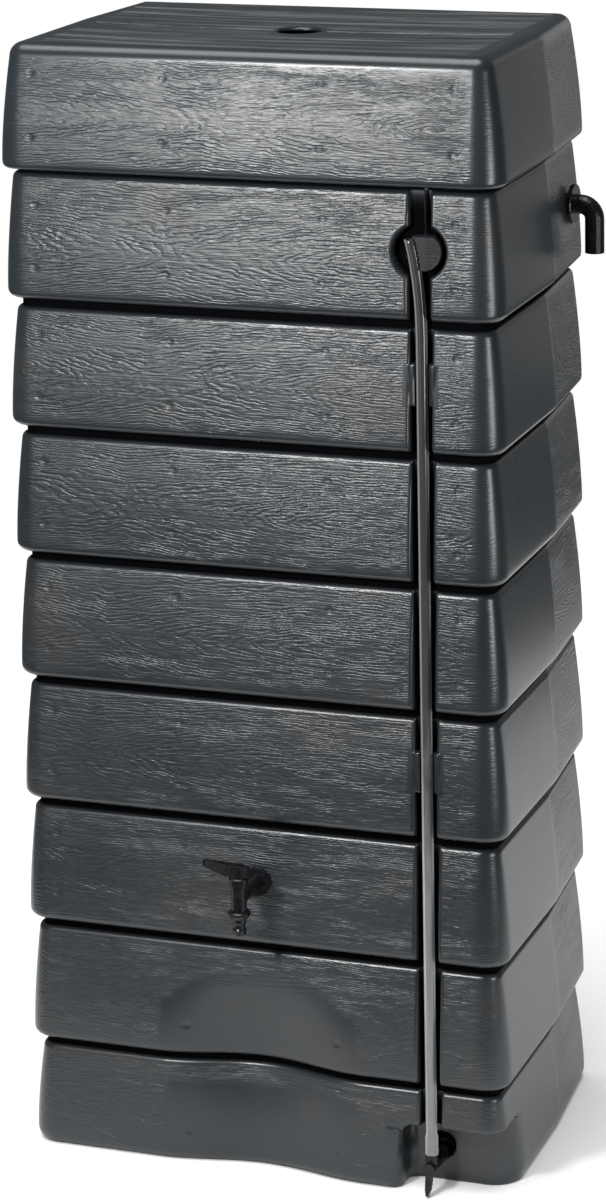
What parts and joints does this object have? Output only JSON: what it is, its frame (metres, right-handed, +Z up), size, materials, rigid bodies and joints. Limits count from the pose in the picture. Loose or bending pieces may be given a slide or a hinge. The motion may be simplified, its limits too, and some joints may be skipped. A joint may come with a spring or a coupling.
{
  "type": "rain barrel",
  "caption": "Free-standing rectangular rain tank in stacked-board look, with lift-off lid, lever tap, clear level hose and side overflow elbow.",
  "frame": {"origin": "middle of the flat underside of the base, on the ground", "axes": "+Z up, -Y towards the front with the tap, +X towards the overflow elbow"},
  "size_m": [0.6626, 0.4991, 1.4063],
  "materials": {
    "tank_plastic": "anthracite, moulded wood grain",
    "black_plastic": "satin black",
    "rubber": "matt",
    "clear_pvc": "clear, slightly milky",
    "steel": "plain"
  },
  "bodies": {
    "barrel": {"barrel_body": "tank_plastic", "tap_body": "black_plastic", "tap_gasket": "rubber", "tap_back_nut": "black_plastic", "tap_spindle_seal": "rubber", "tap_bonnet": "black_plastic", "tap_collar": "black_plastic", "tap_nozzle_seal": "rubber", "tap_nozzle": "black_plastic", "overflow_gasket": "rubber", "overflow_collar": "black_plastic", "overflow_nut": "black_plastic", "overflow_seal": "rubber", "level_hose": "clear_pvc", "level_tap_gasket": "rubber", "level_tap_body": "black_plastic", "level_tap_nut": "black_plastic"},
    "lid": {"lid": "tank_plastic"},
    "tap_lever": {"tap_lever": "black_plastic", "tap_plug": "black_plastic", "tap_lever_screw": "steel"},
    "overflow": {"overflow_elbow": "black_plastic"},
    "level_lever": {"level_tap_lever": "black_plastic", "level_tap_plug": "black_plastic"}
  },
  "joints": [
    {"name": "lid_lift", "type": "slide", "parent": "barrel", "child": "lid", "axis": [0, 0, 1], "range_m": [0, 0.25]},
    {"name": "tap_turn", "type": "hinge", "parent": "barrel", "child": "tap_lever", "pos_m": [0, -0.272, 0.404], "axis": [0, 0, 1], "range_deg": [0, 90]},
    {"name": "overflow_swivel", "type": "hinge", "parent": "barrel", "child": "overflow", "pos_m": [0.3, 0.135, 1.1775], "axis": [1, 0, 0], "range_deg": [-90, 90]},
    {"name": "level_tap_turn", "type": "hinge", "parent": "barrel", "child": "level_lever", "pos_m": [0.218, -0.2, 0.034], "axis": [0, -1, 0], "range_deg": [0, 90]}
  ]
}
